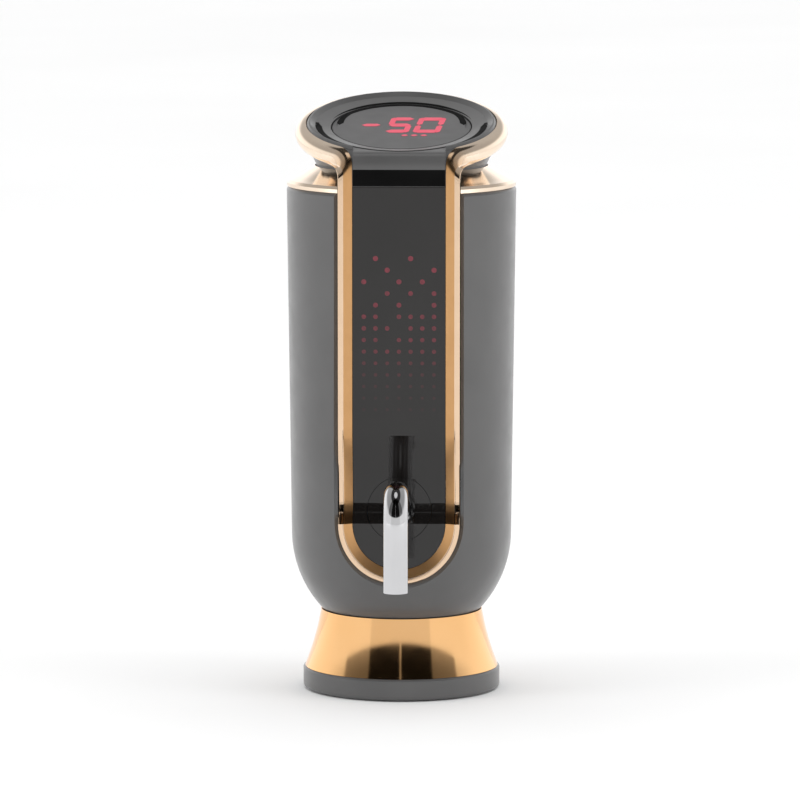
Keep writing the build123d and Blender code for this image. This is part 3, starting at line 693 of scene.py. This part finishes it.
# ------------------------------------------------------------------ the cap's details
def crescent(name, degrees, shares, narrow, wide, height_at, body):
    """Glossy black sheet along an arc that starts and ends at degrees from the front: painted shade
    lying in a groove of the cap.

    narrow gives its inner and outer radius mid-way, and wide gives them towards its ends. It
    swells between the two shares of the way from its middle to an end, and then tapers off.
    """
    start, end = (math.radians(angle) for angle in degrees)
    near, far = shares
    rows = []
    for turn in np.linspace(start, end, SHADE_ARC_STEPS):
        share = abs(2 * (turn - start) / (end - start) - 1)
        swell = min(1.0, max(0.0, (share - near) / (far - near)))
        taper = min(1.0, (1 - share) / (1 - far))
        inner = narrow[0] + (wide[0] - narrow[0]) * swell
        outer = narrow[1] + (wide[1] - narrow[1]) * swell
        middle, half = (inner + outer) / 2, max(0.02, (outer - inner) / 2 * taper)
        corners = (
            (middle - half, SHADE_ARC_SINK), (middle - half, SHADE_ARC_RISE),
            (middle + half, SHADE_ARC_RISE), (middle + half, SHADE_ARC_SINK),
        )
        rows.append([on_ring(r, height_at(r) + h, turn) for r, h in corners])
    points = [p for row in rows for p in row]
    # a black sheet as painted shade in the groove
    mesh_piece(name, points, channel_faces(SHADE_ARC_STEPS), black_band_and_painted_shade(), body)


def bevel_height(radius):
    """Height of the cap's dished bevel over the tilted plane."""
    return float(np.interp(radius, (KEY_EDGE_R, DISH_R), (PLATE_TOP, CAP_TOP)))


def cap_shade_arcs():
    """Painted shade: two black arcs at the back, either side of the window's edge, and one round the
    front, where the cap's grooves fall dark.
    """
    crescent(
        "window_arc", (94, 266), (0.6, 0.93), (16.1, 17.35), (14.8, 16.5), lambda r: PLATE_TOP, "key"
    )
    crescent(
        "bevel_arc", (108, 252), (0.4, 0.5), (17.75, 18.7), (17.75, 18.6), bevel_height, "housing"
    )
    crescent(
        "front_arc", (-92, 92), (0.35, 0.93), (20.4, 21.6), (19.9, 21.6), bevel_height, "housing"
    )


def bar(x0, y0, x1, y1):
    """A lit bar with mitred ends, as an outline; it runs along its longer side."""
    tip = min(abs(x1 - x0), abs(y1 - y0)) / 2
    if x1 - x0 > y1 - y0:
        y = (y0 + y1) / 2
        return [(x0, y), (x0 + tip, y0), (x1 - tip, y0), (x1, y), (x1 - tip, y1), (x0 + tip, y1)]
    x = (x0 + x1) / 2
    return [(x, y0), (x1, y0 + tip), (x1, y1 - tip), (x, y1), (x0, y1 - tip), (x0, y0 + tip)]


def digit_bars(left, right, lit):
    """Outlines of a seven-bar figure's lit bars: a to f clockwise from the top, g in the middle."""
    low, middle, high = DIGIT_LOW, DIGIT_MIDDLE, DIGIT_HIGH
    across = {"d": low, "g": middle - BAR_TALL / 2, "a": high - BAR_TALL}
    up = {
        "e": (left, low, middle), "c": (right - BAR_WIDE, low, middle),
        "f": (left, middle, high), "b": (right - BAR_WIDE, middle, high),
    }
    bars = []
    for name in lit:
        if name in across:
            y = across[name]
            bars.append(bar(left + BAR_GAP, y, right - BAR_GAP, y + BAR_TALL))
        else:
            x, start, end = up[name]
            bars.append(bar(x, start + BAR_GAP, x + BAR_WIDE, end - BAR_GAP))
    return bars


def display_digits():
    """Lit figures on the display window: a minus sign, two figures and three unit marks."""
    bars = [bar(MINUS[0], DIGIT_MIDDLE - MINUS_HALF, MINUS[1], DIGIT_MIDDLE + MINUS_HALF)]
    for left, right, lit in DIGITS:
        bars += digit_bars(left, right, lit)
    for x in MARKS:
        bars.append(bar(x, DIGIT_LOW - MARK_BELOW[0], x + MARK_WIDE, DIGIT_LOW - MARK_BELOW[1]))

    def slanted(x, y, height):
        return on_cap(x + DIGIT_SLANT * (y - DIGIT_MIDDLE), y, height)

    shapes = [prism(outline, PLATE_TOP + 0.01, PLATE_TOP + 0.06, slanted) for outline in bars]
    points, faces = join_shapes(shapes)
    mesh_piece("display_digits", points, faces, lit_digits(), "key")


def cap_front_band():
    """Black strip where the cap rolls over onto the front panel, a sheet let into the apron."""
    low_z, high_z = SHOULDER_Z + 0.25, SHOULDER_Z + 4.3
    proud, thick = 0.08, 0.16
    half = PANEL_HALF - 0.05
    columns, rows = 13, 9
    roll = crown_roll(STRIP_INSET)
    points = []
    for z in np.linspace(low_z, high_z, rows):
        y = float(np.interp(z, roll[:, 1], roll[:, 0])) - proud
        points += [(x, y, z) for x in np.linspace(-half, half, columns)]
    points += [(x, y + thick, z) for x, y, z in points]
    count = rows * columns
    faces = []
    for i in range(rows - 1):
        for j in range(columns - 1):
            a = i * columns + j
            quad = [a, a + 1, a + columns + 1, a + columns]
            faces += [quad, [count + k for k in reversed(quad)]]
    rim = list(range(columns)) + [i * columns + columns - 1 for i in range(1, rows)]
    rim += [(rows - 1) * columns + j for j in range(columns - 2, -1, -1)]
    rim += [i * columns for i in range(rows - 2, 0, -1)]
    for a, b in zip(rim, rim[1:] + rim[:1]):
        faces.append([b, a, a + count, b + count])
    mesh_piece("cap_front_band", points, faces, black_band_and_painted_shade(), "housing", 40.0)


def light_dots():
    """The lit dots seen through the front panel, each with its own brightness."""
    low, high = (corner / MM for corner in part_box("led_lamps"))
    pitch = (high.x - low.x - LAMP_SIDE) / (len(DOT_ROWS[0]) - 1)
    face_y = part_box("front_panel")[0].y / MM
    shapes, glow = [], []
    for row, (pattern, level) in enumerate(zip(DOT_ROWS, DOT_GLOW)):
        z = high.z - LAMP_SIDE / 2 - pitch * row
        radius = DOT_HALF * (0.6 + 0.4 * level)
        outline = [
            (radius * math.cos(math.radians(turn)), radius * math.sin(math.radians(turn)))
            for turn in DOT_TURNS
        ]
        for column, lit in enumerate(pattern):
            if lit == "0":
                continue
            x = low.x + LAMP_SIDE / 2 + pitch * column
            shape = prism(outline, 0.005, 0.03, lambda u, v, h: (x + u, face_y - h, z + v))
            shapes.append(shape)
            glow += [level] * len(shape[0])
    points, faces = join_shapes(shapes)
    piece = mesh_piece("light_dots", points, faces, lit_dots(), "housing")
    attribute = piece.data.attributes.new("glow", "FLOAT", "POINT")
    attribute.data.foreach_set("value", glow)


# ------------------------------------------------------------------ studio
def studio_floor():
    """A broad pale sheet, a hair under the base."""
    size = 6.0
    mesh = bpy.data.meshes.new("floor")
    corners = [(-size, -size, 0), (size, -size, 0), (size, size, 0), (-size, size, 0)]
    mesh.from_pydata([Vector(c) for c in corners], [], [[0, 1, 2, 3]])
    mesh.materials.append(pale_floor())
    floor = bpy.data.objects.new("floor", mesh)
    floor.location.z = CAD_BOX[0].z - 0.0002
    bpy.context.scene.collection.objects.link(floor)


def studio_world():
    """What the mirror finishes show, as a brightness for each direction.

    It is pale all round, with a small skylight at the top of a dark ceiling. Ahead of the object
    the ceiling comes down lower, with a thin bright slit in its middle and a grey card under it.
    """
    world = bpy.data.worlds.new("studio")
    bpy.context.scene.world = world
    world.use_nodes = True
    tree = world.node_tree
    background = tree.nodes["Background"]
    direction = tree.nodes.new("ShaderNodeTexCoord").outputs["Generated"]
    split = tree.nodes.new("ShaderNodeSeparateXYZ")
    tree.links.new(direction, split.inputs["Vector"])

    def ramp(value, start, end, low, high):
        """A smooth step from low to high as the value goes from start to end."""
        node = tree.nodes.new("ShaderNodeMapRange")
        node.interpolation_type = "SMOOTHSTEP"
        node.inputs["From Min"].default_value = start
        node.inputs["From Max"].default_value = end
        node.inputs["To Min"].default_value = low
        node.inputs["To Max"].default_value = high
        tree.links.new(value, node.inputs["Value"])
        return node.outputs["Result"]

    def combine(operation, *values):
        """The result of a sum on numbers or sockets."""
        node = tree.nodes.new("ShaderNodeMath")
        node.operation = operation
        for slot, value in zip(node.inputs, values):
            if isinstance(value, float):
                slot.default_value = value
            else:
                tree.links.new(value, slot)
        return node.outputs["Value"]

    def by_turn(start, end, low, high):
        """A tone that changes with the turn away from straight ahead, in degrees."""
        return ramp(turn, math.radians(start), math.radians(end), low, high)

    up = split.outputs["Z"]
    ahead = ramp(split.outputs["Y"], -0.30, -0.20, 1.0, 0.0)
    aside = combine("ABSOLUTE", combine("ARCTAN2", split.outputs["X"], split.outputs["Y"]))
    turn = combine("SUBTRACT", math.pi, aside)
    ceiling = combine("MINIMUM", ramp(up, 0.28, 0.50, 1.0, 0.40), ramp(up, 0.78, 0.86, 1.0, 0.04))
    sides = by_turn(85, 150, 1.0, 1.25)
    # the low part of the ceiling: nearly black over the card, grey beside it, open further round
    tone = by_turn(41, 43, 0.02, 0.34)
    tone = combine("MAXIMUM", tone, by_turn(72, 84, 0.0, 1.0))
    slit = by_turn(0.7, 1.3, 0.9, 0.0)
    tone = combine("MAXIMUM", tone, slit)
    high = ramp(up, 0.31, 0.35, 0.0, 1.0)
    canopy = combine("MAXIMUM", combine("SUBTRACT", 1.0, combine("MULTIPLY", high, ahead)), tone)
    skylight = ramp(up, 0.975, 0.985, 0.0, 0.9)
    card = by_turn(41, 43, 0.82, 1.0)
    overhead = combine("MULTIPLY", ceiling, canopy)
    level = combine("MULTIPLY", overhead, combine("MULTIPLY", card, sides))
    tree.links.new(combine("MAXIMUM", level, skylight), background.inputs["Strength"])
    background.inputs["Color"].default_value = (1.0, 1.0, 1.0, 1)


def soft_light(name, place, aim, size, power):
    """A softbox that lights the object without showing in its mirror finishes."""
    lamp = bpy.data.lights.new(name, "AREA")
    lamp.shape = "RECTANGLE"
    lamp.size, lamp.size_y = size
    lamp.energy = power
    light = bpy.data.objects.new(name, lamp)
    light.location = place
    light.rotation_euler = (Vector(aim) - Vector(place)).to_track_quat("-Z", "Y").to_euler()
    light.visible_glossy = False
    bpy.context.scene.collection.objects.link(light)


def studio_lights():
    """A softbox on each side, and a wide even light from above that keeps the floor white."""
    for name, x in (("left_box", -1.3), ("right_box", 1.3)):
        soft_light(name, (x, -0.5, 0.5), CAD_MIDDLE, (0.5, 1.2), 5.0)
    sky = bpy.data.lights.new("sky", "SUN")
    sky.energy = 2.3
    sky.angle = math.radians(120)
    light = bpy.data.objects.new("sky", sky)
    light.visible_glossy = False
    bpy.context.scene.collection.objects.link(light)


def studio_camera():
    """The photograph's viewpoint, with a longer lens that fills the picture with the object."""
    place = Vector((0.0423, -1.5829, 0.2701))
    camera = bpy.data.cameras.new("camera")
    camera.lens = 285.0
    camera.sensor_width = 36.0
    camera.clip_start = 0.1
    camera.clip_end = 50.0
    viewer = bpy.data.objects.new("camera", camera)
    viewer.location = place
    viewer.rotation_euler = (CAD_MIDDLE - place).to_track_quat("-Z", "Y").to_euler()
    bpy.context.scene.collection.objects.link(viewer)
    bpy.context.scene.camera = viewer


# ------------------------------------------------------------------ put together
dress_nodes()
trim_loop()
cap_corners()
cap_shade_arcs()
display_digits()
cap_front_band()
light_dots()
studio_floor()
studio_world()
studio_lights()
studio_camera()
bpy.context.scene.view_settings.view_transform = "Standard"
